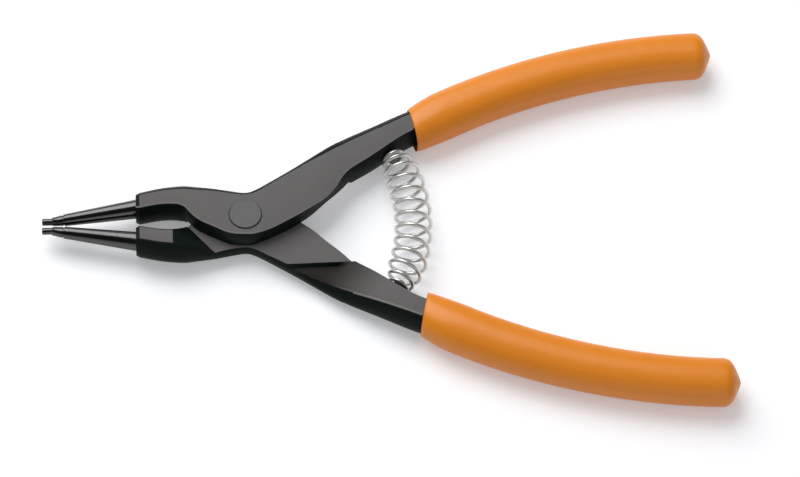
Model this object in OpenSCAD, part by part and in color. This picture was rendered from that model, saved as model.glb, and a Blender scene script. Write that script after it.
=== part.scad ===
// Straight-nosed pliers for outside circlips.
// Two equal forgings, one turned over, lap at a riveted joint without crossing, so that
// squeezing the handles opens the noses, and a bent coil spring closes them again.
// X runs from the noses to the handles, Y across the two handles, Z up.
// The origin is on the joint's axis, at the underside of the joint.

/* [Joint] */
// Thickness of the whole joint, two half laps deep
joint_t = 9; // [8.6:0.1:10.5]
// Width of one forging over the pivot
joint_w = 12; // [11.4:0.1:13.5]
// Running gap between the two lapped faces
lap_gap = 0.1; // [0.05:0.01:0.2]
// Diameter of the rivet's shank
rivet_d = 5.6; // [4.6:0.1:6]
// Diameter of the rivet's two heads
rivet_head_d = 8.2; // [7.6:0.1:8.6]
// Depth of a rivet head
rivet_head_t = 1.6; // [1.2:0.1:2]
// Height of the upper rivet head above the forging
rivet_proud = 0.2; // [0.1:0.05:0.4]
// Radial clearance of the rivet in the half that turns on it
rivet_play = 0.05; // [0.02:0.01:0.08]
// Radial clearance of a piece that is pressed into its seat
seat_play = 0.02; // [0.01:0.01:0.05]

/* [Jaws and noses] */
// From the pivot to the front face of the jaws
jaw_len = 27.5; // [25:0.5:31]
// From the middle line to the axis of a nose, at the front face of the jaws
nose_offset = 4.8; // [4.6:0.1:5.6]
// Length of the long cone of a nose, along X
nose_len = 18.7; // [15:0.1:24]
// Diameter of the nose where it leaves the jaw
nose_base_d = 4.6; // [4:0.1:5]
// Diameter of the nose at the end of the long cone
nose_end_d = 2.9; // [2.4:0.1:3.2]
// Length of the short cone down to the tip, along X
neck_len = 3; // [2:0.1:4]
// Diameter of the tip that enters the eye of a circlip
tip_d = 1.8; // [1.4:0.1:2]
// Width of the shoulder round the root of the tip
tip_step = 0.15; // [0.1:0.01:0.25]
// Length of the tip
tip_len = 2.6; // [2:0.1:3.5]
// Gap between the two tips at rest
tip_gap = 0.85; // [0.8:0.05:1]
// Diameter of the shank that holds the nose in the jaw
shank_d = 3.4; // [2.8:0.1:3.6]
// Length of the shank
shank_len = 9; // [7:0.5:11]
// Depth of the recess round the foot of a nose
nose_recess = 0.8; // [0.6:0.05:1.2]

/* [Handles] */
// From the pivot to the mouth of a grip, along X
tang_reach = 44.7; // [42:0.1:48]
// From the middle line to the centre of a grip's mouth
tang_rise = 27.4; // [26:0.1:30]
// Slope of a handle at the mouth of its grip, in degrees
handle_angle = 29.5; // [28:0.1:31]
// Radius of the bend of a handle
handle_r = 164; // [155:1:190]
// Width of the steel inside a grip
core_w = 8.2; // [7.6:0.1:8.6]
// Extra width of that steel at the mouth of the grip
core_flare = 0.8; // [0.4:0.1:1]
// Thickness of the steel inside a grip
core_t = 8.8; // [8:0.1:9]
// Distance from the end of the steel to the end of the grip
core_short = 9; // [8:0.5:14]

/* [Grips] */
// Length of a grip along its bend
grip_len = 82.4; // [70:0.1:90]
// Width of a grip
grip_w = 12.6; // [12:0.1:14]
// Thickness of a grip
grip_t = 11.4; // [11:0.1:13]
// Length over which the mouth of a grip swells to its full size
grip_swell = 9; // [6:0.5:12]
// Slant of a grip's mouth, in degrees from square across the handle
mouth_slant = 17; // [10:0.5:18]
// Length of the blunt cone at the end of a grip
grip_nose = 4.6; // [4:0.1:6]
// Clearance between the steel and the bore of the grip
sleeve_play = 0.1; // [0.05:0.01:0.15]

/* [Spring] */
// Wire diameter of the return spring
wire_d = 1; // [0.8:0.05:1.1]
// Outer diameter of the spring at its middle
spring_d = 10; // [9:0.1:11]
// Outer diameter of the last coil at each end
spring_end_d = 5.6; // [5.4:0.1:6.6]
// Number of turns
spring_turns = 12.5; // [10:0.5:14]
// From the side of the tang to the middle of the last coil, along the spring
coil_seat = 1.25; // [1.1:0.05:1.6]
// Radial clearance between a peg and the coil round it
peg_play = 0.2; // [0.15:0.01:0.3]
// Length of a peg outside the handle
peg_len = 3; // [2.4:0.1:4]
// Depth of a peg inside the handle
peg_depth = 3.2; // [2.8:0.1:4]

/* [Hidden] */

steel_colour = [0.17, 0.17, 0.18];
nose_colour = [0.24, 0.24, 0.25];
zinc_colour = [0.78, 0.8, 0.82];
grip_colour = [0.9, 0.55, 0.12];

half_t = joint_t / 2;
cut_over = 2;
bore_fn = 96;

// Stations of a forging from the jaw's front face to the grip. Each row holds the place along
// the jaw or the tang, the middle height, the inner and the outer edge of the flat top, the
// swell of the inner and of the outer side, the squareness of the sides, the thickness, and how
// deep the outer side goes under the middle of the joint.
jaw_shares = [
    [-1.000, 1.00, 0.130, 0.100, 0.24, 0.42, 2.0, 0.87, 1.00],
    [-0.965, 1.00, 0.170, 0.135, 0.28, 0.54, 2.0, 1.00, 1.00],
    [-0.800, 1.00, 0.092, 0.221, 0.29, 0.57, 2.0, 1.00, 1.00],
    [-0.655, 1.00, 0.083, 0.262, 0.29, 0.58, 2.0, 1.00, 1.00],
    [-0.567, 1.00, 0.150, 0.267, 0.26, 0.55, 2.2, 1.00, 0.85],
    [-0.510, 1.00, 0.310, 0.257, 0.22, 0.50, 2.4, 1.00, 0.70],
    [-0.430, 0.90, 0.445, 0.278, 0.22, 0.43, 2.6, 1.00, 0.50],
    [-0.290, 0.50, 0.458, 0.408, 0.22, 0.35, 2.6, 1.00, 0.24],
    [-0.145, 0.20, 0.497, 0.470, 0.22, 0.32, 2.6, 1.00, 0.16],
    [0.000, 0.00, 0.454, 0.504, 0.21, 0.31, 2.6, 1.00, 0.20]];
tang_shares = [
    [0.058, 0.030, 0.510, 0.498, 0.18, 0.31, 2.6, 1.00, 0.20],
    [0.145, 0.095, 0.550, 0.550, 0.09, 0.27, 2.6, 1.00, 0.16],
    [0.253, 0.200, 0.570, 0.568, -0.03, 0.25, 2.6, 1.00, 0.12],
    [0.369, 0.315, 0.570, 0.564, -0.13, 0.32, 2.6, 1.00, 0.02],
    [0.459, 0.414, 0.566, 0.529, -0.20, 0.46, 2.6, 1.00, 0.10],
    [0.523, 0.503, 0.490, 0.464, -0.04, 0.53, 2.5, 1.00, 0.24],
    [0.564, 0.571, 0.382, 0.388, 0.24, 0.54, 2.4, 1.00, 0.36],
    [0.617, 0.639, 0.322, 0.342, 0.30, 0.56, 2.3, 1.00, 0.50],
    [0.732, 0.754, 0.296, 0.296, 0.26, 0.58, 2.2, 1.00, 0.82],
    [0.895, 0.916, 0.233, 0.233, 0.22, 0.60, 2.2, 1.00, 1.00]];
// Place of the spring's end on the inner side of the tang, between the last two stations
peg_place_share = 0.74;
// Flat part of the core inside a grip, as a share of its half width
core_flat_share = 0.55;

// The lap's end wall at the jaw, at the lapped face and at the far face
wall_foot_shares = [[-0.800, -0.642], [-0.195, 0.942]];
wall_top_shares = [[-0.676, -0.667], [-0.676, 1.083]];
// The edge of the milled lap at the tang
mill_edge_shares = [[0.200, 0.4425], [0.626, 0.4225]];
// The forged ramp beyond it: where it starts and ends, and its two heights under the lap
ramp_place_shares = [0.31, 1.03];
ramp_height_shares = [-0.18, 1.08];
// The gutter between the milled lap and the ramp: distance from the edge, and depth
gutter_shares = [[0.12, 0.22], [0.35, 0.21], [0.75, 0.19]];

// Sizes of a grip along its length: the place as a share of the swell or of the cone, and the size
mouth_shares = [[0, 0.855], [0.07, 0.885], [0.35, 0.93], [1, 1]];
end_shares = [[0.22, 0.975], [0.42, 0.89], [0.60, 0.73], [0.80, 0.43], [1, 0.06]];
grip_taper_share = 0.97;

tip_y = (tip_gap + tip_d) / 2;
nose_angle = atan((nose_offset - tip_y) / (nose_len + neck_len));
core_start = -core_w * 0.35;
core_end = grip_len - core_short;
peg_d = spring_end_d - 2 * wire_d - 2 * peg_play;
peg_chamfer = peg_d / 10;
rivet_chamfer = rivet_proud;

end_turns = 2.5;

side_steps = 8;
spline_steps = 3;
wall_steps = 6;
core_steps = 10;
grip_steps = 16;
ramp_steps = 11;
grip_ring = 24;
wire_ring = 6;
coil_steps = 13;

// A closed skin over a row of rings, each with the same number of points. The points go
// clockwise when one looks along the row.
module skin(rings) {
    n = len(rings[0]);
    last = (len(rings) - 1) * n;
    sides = [for (i = [0 : len(rings) - 2], j = [0 : n - 1])
        let (a = i * n + j, b = i * n + (j + 1) % n)
        each [[a, a + n, b + n], [a, b + n, b]]];
    polyhedron(
        points = [for (r = rings) each r],
        faces = concat([[for (j = [0 : n - 1]) j]], sides, [[for (j = [0 : n - 1]) last + n - 1 - j]]),
        convexity = 6);
}

// A smooth curve through the rows of a table
function curve_row(a, b, c, d, t) =
    (2 * b + (c - a) * t + (2 * a - 5 * b + 4 * c - d) * t * t + (3 * b - a - 3 * c + d) * t * t * t) / 2;
function curve(rows, k) = [
    for (i = [0 : len(rows) - 2], s = [0 : k - 1])
        curve_row(rows[max(i - 1, 0)], rows[i], rows[i + 1], rows[min(i + 2, len(rows) - 1)], s / k),
    rows[len(rows) - 1]];

// One ring of a forging: two flats, and sides that swell between the edges p and q. The side
// at q goes down to the depth under the middle.
function side_swell(level, square) = 1 - pow(abs(level), square);
function forging_ring(p, q, swell_p, swell_q, square, high, deep) =
    let (u = (q - p) / norm(q - p))
    concat(
        [for (i = [0 : side_steps])
            let (level = 1 - 2 * i / side_steps, e = p - u * swell_p * side_swell(level, square))
            [e[0], e[1], high * level]],
        [for (i = [0 : side_steps])
            let (level = 2 * i / side_steps - 1, e = q + u * swell_q * side_swell(level, square))
            [e[0], e[1], (high - deep + level * (high + deep)) / 2]]);

// A station in millimetres from a row of shares
function station(row, reach, rise) = [
    row[0] * reach,
    row[1] * rise - row[2] * joint_w,
    row[1] * rise + row[3] * joint_w,
    row[4] * half_t,
    row[5] * half_t,
    row[6],
    row[7] * half_t,
    row[7] * row[8] * half_t];
stations = concat(
    [for (row = jaw_shares) station(row, jaw_len, nose_offset)],
    [for (row = tang_shares) station(row, tang_reach, tang_rise)]);

// The spring ends on the inner side of the tang, and is bent round the pivot in between
function side_point(st) = [st[0], st[1] - st[3]];
peg_point = let (a = side_point(stations[len(stations) - 2]), b = side_point(stations[len(stations) - 1]))
    a + (b - a) * peg_place_share;
spring_r = norm(peg_point);
spring_angle = atan2(peg_point[1], peg_point[0]) - coil_seat / spring_r * 180 / PI;

// The bend of a handle: heading, middle line and normal at a distance s from the grip's mouth
function heading(s) = handle_angle - s * 180 / (PI * handle_r);
function bend(s) = [
    tang_reach + handle_r * (sin(handle_angle) - sin(heading(s))),
    tang_rise + handle_r * (cos(heading(s)) - cos(handle_angle))];
function bend_normal(s) = [-sin(heading(s)), cos(heading(s))];
function core_ring(s, w, t) =
    let (
        wide = w + core_flare * max(0, 1 - s / grip_swell),
        flat = core_flat_share * wide / 2,
        swell = wide / 2 - flat,
        c = bend(s),
        u = bend_normal(s))
    forging_ring(c - u * flat, c + u * flat, swell, swell, 2.2, t / 2, t / 2);
function core_rings(from, to, w, t) =
    [for (i = [0 : core_steps]) core_ring(from + (to - from) * i / core_steps, w, t)];

// The whole forging before the lap is milled away
module blank() {
    body = [for (r = curve(stations, spline_steps))
        forging_ring([r[0], r[1]], [r[0], r[2]], r[3], r[4], r[5], min(r[6], half_t), min(r[7], half_t))];
    tail = core_ring(core_end, core_w * 0.8, core_t * 0.8);
    skin(concat(body, core_rings(core_start, core_end - core_w / 8, core_w, core_t), [tail]));
}

// What is milled from the lap, under the half that stays, with its slanting wall at the jaw
module lap_cut() {
    foot = [for (s = wall_foot_shares) [s[0] * jaw_len, s[1] * joint_w]];
    top = [for (s = wall_top_shares) [s[0] * jaw_len, s[1] * joint_w]];
    edge = [for (s = mill_edge_shares) [s[0] * tang_reach, s[1] * tang_rise]];
    z_top = lap_gap / 2;
    depth = half_t + z_top;
    skin([for (i = [0 : wall_steps])
        let (
            t = i / wall_steps * (1 + cut_over / depth),
            z = z_top - t * depth,
            a = foot[0] + (top[0] - foot[0]) * t,
            b = foot[1] + (top[1] - foot[1]) * t)
        [for (p = [a, b, edge[0], edge[1], [edge[1][0], -joint_w], [a[0], -joint_w]]) [p[0], p[1], z]]]);
}

// The forged side of the tang beyond the milled lap: a gutter along the milled edge, and a ramp
// that rises in an S to the full thickness
module ramp_cut() {
    edge = [for (s = mill_edge_shares) [s[0] * tang_reach, s[1] * tang_rise]];
    slope = (edge[1][1] - edge[0][1]) / (edge[1][0] - edge[0][0]);
    z_top = lap_gap / 2;
    far = tang_rise + joint_w;
    ramp_beyond = 1 + (grip_len + joint_w) / (ramp_place_shares[1] * tang_reach - edge[0][0]);
    overlap = gutter_shares[0][0] * half_t / 2;
    skin([for (i = [0 : ramp_steps + 1])
        let (
            t = i > ramp_steps ? ramp_beyond : i / ramp_steps,
            x = edge[0][0] + (ramp_place_shares[1] * tang_reach - edge[0][0]) * t,
            y = edge[0][1] + slope * (x - edge[0][0]),
            r = (x / tang_reach - ramp_place_shares[0]) / (ramp_place_shares[1] - ramp_place_shares[0]),
            s = r < 0 ? 0 : r > 1 ? 1 : r * r * (3 - 2 * r),
            z = -half_t * (ramp_height_shares[0] + (ramp_height_shares[1] - ramp_height_shares[0]) * s),
            low = -half_t - cut_over)
        concat(
            [[x, y - overlap, z_top - overlap], [x, y - cut_over, -cut_over], [x, y - cut_over, low],
             [x, far, low], [x, far, z]],
            [[x, y + half_t, z]],
            [for (k = [2 : -1 : 0])
                let (g = gutter_shares[k], f = k == 0 ? 0 : k == 1 ? 0.25 : 0.75, deep = z_top + g[1] * half_t)
                [x, y + g[0] * half_t, deep + (z - deep) * f]])]);
}

// The nose's frame: its foot at the jaw's front face, its axis along +Z
module at_nose() {
    translate([-jaw_len, nose_offset, 0])
        rotate([0, 0, nose_angle])
            rotate([0, -90, 0])
                children();
}

// The peg's frame: on the bent middle line of the spring, where it meets the tang
module at_peg() {
    rotate([0, 0, spring_angle])
        translate([spring_r, 0, 0])
            rotate([-90, 0, 0])
                children();
}

// One forging, with its lap milled, its seats for the nose and the peg, and the pivot bore
module half(bore_play, head_play) {
    difference() {
        blank();
        lap_cut();
        ramp_cut();
        at_nose() {
            translate([0, 0, -shank_len])
                cylinder(d = shank_d + 2 * seat_play, h = shank_len + cut_over, $fn = bore_fn);
            translate([0, 0, -nose_recess])
                cylinder(d = nose_base_d + 2 * seat_play, h = nose_recess + cut_over, $fn = bore_fn);
        }
        at_peg()
            cylinder(d = peg_d + 2 * seat_play, h = peg_depth + coil_seat, $fn = bore_fn);
        cylinder(d = rivet_d + 2 * bore_play, h = half_t + cut_over, $fn = bore_fn);
        translate([0, 0, half_t - rivet_head_t - head_play])
            cylinder(d = rivet_head_d + 2 * bore_play, h = rivet_head_t + cut_over, $fn = bore_fn);
    }
}

// A nose: a turned shank, foot and cone, with the round tip turned back to run along X
module nose() {
    at_nose()
        rotate_extrude($fn = bore_fn)
            polygon([
                [0, -shank_len],
                [shank_d / 2, -shank_len],
                [shank_d / 2, -nose_recess],
                [nose_base_d / 2, -nose_recess],
                [nose_base_d / 2, 0],
                [nose_end_d / 2, nose_len / cos(nose_angle)],
                [tip_d / 2 + tip_step, (nose_len + neck_len) / cos(nose_angle)],
                [0, (nose_len + neck_len) / cos(nose_angle)]]);
    translate([-jaw_len - nose_len - neck_len + tip_d / 2, tip_y, 0])
        rotate([90, 0, 0])
            rotate([0, -90, 0])
                cylinder(d = tip_d, h = tip_len + tip_d / 2, $fn = bore_fn);
}

// The rivet: a shank between two flush heads, with the upper one a little proud
module rivet() {
    rotate_extrude($fn = bore_fn)
        polygon([
            [0, -half_t],
            [rivet_head_d / 2, -half_t],
            [rivet_head_d / 2, -half_t + rivet_head_t],
            [rivet_d / 2, -half_t + rivet_head_t],
            [rivet_d / 2, half_t - rivet_head_t],
            [rivet_head_d / 2, half_t - rivet_head_t],
            [rivet_head_d / 2, half_t + rivet_proud - rivet_chamfer],
            [rivet_head_d / 2 - rivet_chamfer, half_t + rivet_proud],
            [0, half_t + rivet_proud]]);
}

// A turned peg, pressed into the tang, over which the end of the spring fits
module peg() {
    at_peg() {
        translate([0, 0, -peg_len + peg_chamfer])
            cylinder(d = peg_d, h = peg_len + peg_depth + coil_seat - peg_chamfer, $fn = bore_fn);
        translate([0, 0, -peg_len])
            cylinder(d1 = peg_d - 2 * peg_chamfer, d2 = peg_d, h = peg_chamfer, $fn = bore_fn);
    }
}

// The spring: wire wound round an arc about the pivot. Over its end turns it narrows to fit a
// peg, and its pitch falls until the wire lies close.
spring_arc = 2 * spring_angle * PI / 180 * spring_r;
coil_pitch = (spring_arc - end_turns * wire_d) / (spring_turns - end_turns);
function coil_advance(n) =
    n > spring_turns / 2 ? spring_arc - coil_advance(spring_turns - n) :
    let (t = min(n / end_turns, 1))
    wire_d * n * (1 - t) + coil_pitch * n * t - (coil_pitch - wire_d) * end_turns * t * t / 2;
function coil_radius(n) =
    let (
        t = min(min(n, spring_turns - n) / end_turns, 1),
        full = (spring_d - wire_d) / 2,
        end = (spring_end_d - wire_d) / 2)
    end + (full - end) * t * (2 - t);
function wire_section(n) =
    let (
        turn = 360 * n,
        angle = coil_advance(n) / spring_r * 180 / PI - spring_angle,
        out = [cos(angle), sin(angle), 0],
        along = [-sin(angle), cos(angle), 0],
        up = [0, 0, 1],
        away = out * cos(turn) + up * sin(turn),
        middle = out * spring_r + away * coil_radius(n))
    [for (k = [0 : wire_ring - 1])
        let (a = 360 * k / wire_ring)
        middle + (away * cos(a) + along * sin(a)) * wire_d / 2];
module spring() {
    steps = ceil(spring_turns * coil_steps);
    skin([for (i = [0 : steps]) wire_section(spring_turns * i / steps)]);
}

// A grip: a moulded sleeve that follows the bend of the handle, with a slanting mouth and a
// closed end like a blunt cone
function grip_ring_at(s, k, slant) =
    let (size = k * (1 - (1 - grip_taper_share) * s / grip_len))
    [for (i = [0 : grip_ring - 1])
        let (
            a = 360 * i / grip_ring,
            across = -(grip_w / 2) * size * sin(a),
            place = s + slant * across,
            e = bend(place) + bend_normal(place) * across)
        [e[0], e[1], grip_t / 2 * size * cos(a)]];
module grip() {
    straight = grip_len - grip_nose - grip_swell;
    mouth = [for (row = mouth_shares)
        grip_ring_at(row[0] * grip_swell, row[1], (1 - row[0]) * tan(mouth_slant))];
    middle = [for (i = [1 : grip_steps]) grip_ring_at(grip_swell + straight * i / grip_steps, 1, 0)];
    end = [for (row = end_shares) grip_ring_at(grip_len - grip_nose * (1 - row[0]), row[1], 0)];
    difference() {
        skin(concat(mouth, middle, end));
        skin(core_rings(core_start, core_end + sleeve_play, core_w + 2 * sleeve_play, core_t + 2 * sleeve_play));
    }
}

// The pieces are drawn about the middle of the joint, and lifted so that its underside is at 0.
// The lower half is the same forging turned over about X.
module upper() {
    translate([0, 0, half_t])
        children();
}
module lower() {
    upper()
        rotate([180, 0, 0])
            children();
}

module upper_half() {
    color(steel_colour)
        upper()
            half(rivet_play, rivet_play);
}
module lower_half() {
    color(steel_colour)
        lower()
            half(seat_play, 0);
}
module upper_nose() {
    color(nose_colour)
        upper()
            nose();
}
module lower_nose() {
    color(nose_colour)
        lower()
            nose();
}
module pivot_rivet() {
    color(steel_colour)
        upper()
            rivet();
}
module return_spring() {
    color(zinc_colour)
        upper()
            spring();
}
module upper_spring_peg() {
    color(zinc_colour)
        upper()
            peg();
}
module lower_spring_peg() {
    color(zinc_colour)
        lower()
            peg();
}
module upper_grip() {
    color(grip_colour)
        upper()
            grip();
}
module lower_grip() {
    color(grip_colour)
        lower()
            grip();
}

lower_half();
upper_half();
lower_nose();
upper_nose();
pivot_rivet();
return_spring();
lower_spring_peg();
upper_spring_peg();
lower_grip();
upper_grip();
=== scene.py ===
"""Straight-nosed pliers for outside circlips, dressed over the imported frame.

Lengths are in millimetres about the middle of the joint, and are lifted and turned into metres
when a mesh is made. X runs from the noses to the handles, Y towards the upper handle, Z up.
The lower side is the upper side turned half a turn about X.
"""
import math

import bpy
import numpy as np
from mathutils import Matrix, Vector

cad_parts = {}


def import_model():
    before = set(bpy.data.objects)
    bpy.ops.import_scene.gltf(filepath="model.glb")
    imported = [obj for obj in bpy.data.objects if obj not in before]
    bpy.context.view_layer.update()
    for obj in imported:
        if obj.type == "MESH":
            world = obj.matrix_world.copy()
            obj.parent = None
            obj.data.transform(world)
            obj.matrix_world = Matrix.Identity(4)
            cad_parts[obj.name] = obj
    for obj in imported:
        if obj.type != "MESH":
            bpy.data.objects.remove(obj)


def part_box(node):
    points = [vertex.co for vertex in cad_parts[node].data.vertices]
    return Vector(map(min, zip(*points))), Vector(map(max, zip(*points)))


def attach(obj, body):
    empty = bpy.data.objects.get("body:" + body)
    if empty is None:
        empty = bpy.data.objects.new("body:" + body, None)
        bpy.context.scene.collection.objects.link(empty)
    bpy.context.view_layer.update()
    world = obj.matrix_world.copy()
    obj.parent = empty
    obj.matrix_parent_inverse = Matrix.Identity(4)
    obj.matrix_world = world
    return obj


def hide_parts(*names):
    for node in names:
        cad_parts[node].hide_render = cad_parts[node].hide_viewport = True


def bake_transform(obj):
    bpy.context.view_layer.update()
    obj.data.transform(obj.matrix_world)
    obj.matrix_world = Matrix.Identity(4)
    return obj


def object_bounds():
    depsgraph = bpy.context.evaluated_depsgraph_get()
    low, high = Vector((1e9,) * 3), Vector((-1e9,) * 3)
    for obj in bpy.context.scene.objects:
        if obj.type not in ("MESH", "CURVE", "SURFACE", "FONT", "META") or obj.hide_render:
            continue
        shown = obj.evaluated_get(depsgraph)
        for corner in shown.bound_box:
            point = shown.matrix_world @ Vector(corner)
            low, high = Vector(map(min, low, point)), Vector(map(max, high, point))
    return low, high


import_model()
cad_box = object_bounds()

MM = 0.001
HALF_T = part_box("upper_half")[1][2] / MM / 2    # half of the joint's thickness
FLOOR_Z = cad_box[0][2]                         # in metres
UPPER = "upper_side"
LOWER = "lower_side"

# The forging: gap between the two milled faces, width of the small round along the flats, and how
# many steps there are on a side, on a round and between two stations
LAP_GAP = 0.1
EDGE_ROUND = 0.22
SIDE_STEPS = 14
ROUND_STEPS = 3
STATION_STEPS = 9

# Stations of a forging from the jaw's front face to the grip: place, inner and outer edge of the
# flat, swell of the inner and the outer side, squareness of the sides, and, as shares of half the
# joint's thickness, height of the flat and depth of the outer side under the middle.
STATIONS = np.array([
    [-27.85, 3.05, 6.15, 1.15, 2.20, 2.0, 0.92, 0.92],
    [-26.90, 2.76, 6.42, 1.26, 2.43, 2.0, 1.00, 1.00],
    [-22.00, 3.70, 7.45, 1.30, 2.56, 2.0, 1.00, 1.00],
    [-18.00, 3.80, 7.94, 1.30, 2.61, 2.0, 1.00, 1.00],
    [-15.60, 3.00, 8.00, 1.17, 2.48, 2.2, 1.00, 0.85],
    [-14.00, 1.08, 7.88, 0.99, 2.25, 2.4, 1.00, 0.70],
    [-11.80, -1.02, 7.66, 0.99, 1.94, 2.6, 1.00, 0.50],
    [-8.00, -3.10, 7.30, 0.99, 1.58, 2.6, 1.00, 0.24],
    [-4.00, -5.00, 6.60, 0.99, 1.44, 2.6, 1.00, 0.16],
    [0.00, -5.45, 6.05, 0.95, 1.40, 2.6, 1.00, 0.20],
    [2.60, -5.30, 6.80, 0.81, 1.40, 2.6, 1.00, 0.20],
    [6.50, -4.00, 9.20, 0.40, 1.22, 2.6, 1.00, 0.14],
    [11.30, -1.36, 12.30, 0.60, 1.12, 2.6, 1.00, 0.02],
    [16.50, 1.79, 15.40, 0.15, 1.44, 2.6, 1.00, -0.19],
    [20.50, 4.55, 17.69, -0.90, 2.07, 2.6, 1.00, -0.06],
    [23.40, 7.90, 19.35, -0.18, 2.38, 2.5, 1.00, 0.07],
    [25.20, 11.06, 20.30, 1.20, 2.43, 2.4, 1.00, 0.17],
    [27.60, 13.65, 21.61, 1.35, 2.52, 2.3, 1.00, 0.33],
    [32.70, 17.11, 24.21, 1.17, 2.61, 2.2, 1.00, 0.61],
    [40.00, 22.50, 28.00, 0.99, 2.65, 2.2, 1.00, 0.935],
    [43.90, 24.80, 29.90, 0.99, 2.50, 2.2, 1.00, 1.00]])

# Lines on the lapped side of the forging, each from its inner to its outer end: the foot of the
# slanting wall at the jaw, and the line where the milled face ends at the ramp
WALL_FOOT = np.array([[-22.0, -7.7], [-5.36, 11.3]])
MILL_LINE = np.array([[8.94, 12.12], [28.0, 11.58]])
WALL_TOP_X = -18.6
WALL_RUN = 0.4              # least length of the wall along X
RAMP_X = (13.9, 44.0)       # where the forged ramp starts and ends
RAMP_Z = (-0.8, 4.62)       # its depth there, under the middle of the joint
GUTTER = 1.2                # depth of the gutter along the milled face
GUTTER_WALL = 0.6           # how far its wall runs beyond the mill line
GUTTER_RUN = 3.2            # how far it takes from there up to the ramp
GUTTER_FADE = (22.6, 26.8)  # where the gutter starts to fade, and where it is gone

# The lap's cutter: where its grid ends along X and beyond the mill line, how far it reaches out of
# the forging, and how far beyond the flat a row of points keeps the wall's upper edge straight
LAP_X = (10, 46)
LAP_BEYOND = (-28, 22)
CUT_OVER = 1.5
WALL_EDGE = 0.02

# The bend of a handle, and the steel inside its grip
TANG_REACH = 44.7
TANG_RISE = 27.4
HANDLE_ANGLE = math.radians(29.5)
HANDLE_R = 164.0
CORE_W = 8.2
CORE_T = 8.8
CORE_FLARE = 0.8            # extra width at a grip's mouth
CORE_FLAT = 0.55            # share of the width that is flat
CORE_SQUARE = 2.2
CORE_START = 2.5            # from the grip's mouth, where its own sections take over
CORE_END = 73.4
CORE_TAIL = 0.8             # size of the last section, over the last millimetre
CORE_STEPS = 24

# The rivet
RIVET_D = 5.6
RIVET_HEAD_D = 8.2
RIVET_HEAD_T = 1.6
RIVET_PROUD = 0.45
RIVET_BEVEL = (0.2, 0.25)   # height and width of the lower head's bevel
GROOVE = 0.13               # depth of the groove round the upper head, and about its width
PLAY = {UPPER: 0.05, LOWER: 0.02}   # radial play of the rivet in each half

# Noses
JAW_LEN = 27.5
NOSE_OFFSET = 4.8
NOSE_LEN = 18.7
NECK_LEN = 3.0
TIP_LEN = 2.6
TIP_D = 1.8
TIP_GAP = 0.85
NOSE_BASE_D = 5.0
NOSE_END_D = 3.05
NOSE_RECESS = 0.8
NOSE_SIDES = 72
SEAT_PLAY = 0.02            # radial play of a nose in its seat
SEAT_BEVEL = 0.3            # width and depth of the bevel round the seat
SHOULDER = 0.24             # depth of the shoulder behind the neck
TIP_SHOULDER = 0.1          # width of the shoulder at the root of the tip
TIP_BEVEL = (0.22, 0.24)    # length and depth of the round at the tip's end
TIP_Y = (TIP_GAP + TIP_D) / 2
NOSE_ANGLE = math.atan((NOSE_OFFSET - TIP_Y) / (NOSE_LEN + NECK_LEN))
NOSE_AXIS = np.array([-math.cos(NOSE_ANGLE), -math.sin(NOSE_ANGLE), 0])

# Spring and its pegs
WIRE_D = 1.0
WIRE_SIDES = 12
SPRING_D = 10.0
SPRING_END_D = 5.6
SPRING_TURNS = 12.5
END_TURNS = 2.5
TURN_STEPS = 40
COIL_SEAT = 0.85            # from the tang's side to the middle of the wire's end
PEG_D = SPRING_END_D - 2 * WIRE_D - 0.4
PEG_LEN = 1.5
PEG_DEPTH = 3.2
PEG_PLACE = 0.74            # share of the way between the two stations before the last

# Grips: the mouth's profile is distance and size, and the end's is share of its length and size
GRIP_LEN = 82.4
GRIP_W = 12.6
GRIP_T = 11.4
GRIP_TAPER = 0.97           # size at the blunt end
GRIP_SWELL = 9.0            # length of the narrower mouth
GRIP_NOSE = 4.6             # length of the blunt end
GRIP_SIDES = 72
GRIP_STEPS = 50
GRIP_SQUARE = 2.25
BORE_SQUARE = 3.0
MOUTH_SLANT = math.tan(math.radians(17))
MOUTH = np.array([[0.0, 0.815], [0.16, 0.845], [0.6, 0.872], [1.6, 0.897], [3.4, 0.933], [5.8, 0.97],
                  [GRIP_SWELL, 1.0]])
GRIP_END = np.array([[0.10, 0.995], [0.22, 0.975], [0.34, 0.935], [0.45, 0.875], [0.54, 0.80], [0.62, 0.71],
                     [0.72, 0.56], [0.82, 0.40], [0.90, 0.26], [0.96, 0.14], [0.99, 0.06]])
GRIP_START = {UPPER: -1.0, LOWER: 0.0}  # where each mouth sits: the grips are pushed on by hand

# Colours of the forging, and what the floor shows of white where no light falls on it
SIDE_BLACK = (0.006, 0.010, 0.008)
RAMP_BROWN = (0.024, 0.022, 0.020)
GROUND_GREY = (0.147, 0.142, 0.139)
# Lighter grey on the edge rounds: a painted highlight where the rounds catch the light, partly wear
HIGHLIGHT_AND_WEAR_GREY = (0.24, 0.232, 0.22)
FLOOR_GLOW = 0.27
LAMP_AIM = (0.03, 0, 0)                 # the middle of the tool, in metres


def upper(points):
    """Points in millimetres about the joint's middle, in metres in the shared frame."""
    return (np.asarray(points, float) + [0, 0, HALF_T]) * MM


def lower(points):
    """The same, turned half a turn about X first."""
    return upper(np.asarray(points, float) * [1, -1, -1])


PLACE = {UPPER: upper, LOWER: lower}


def new_object(name, points, faces, material, smooth_angle=35):
    """A mesh object at the origin with its place in its points, smooth but for its sharp edges."""
    mesh = bpy.data.meshes.new(name)
    mesh.from_pydata(points, [], faces)
    mesh.validate()
    obj = bpy.data.objects.new(name, mesh)
    bpy.context.scene.collection.objects.link(obj)
    finish_mesh(mesh, smooth_angle)
    if material:
        mesh.materials.append(material)
    return obj


def dress(obj, body, node):
    """Hangs a piece on its body, in the place of its node."""
    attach(obj, body)
    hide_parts(node)


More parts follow.
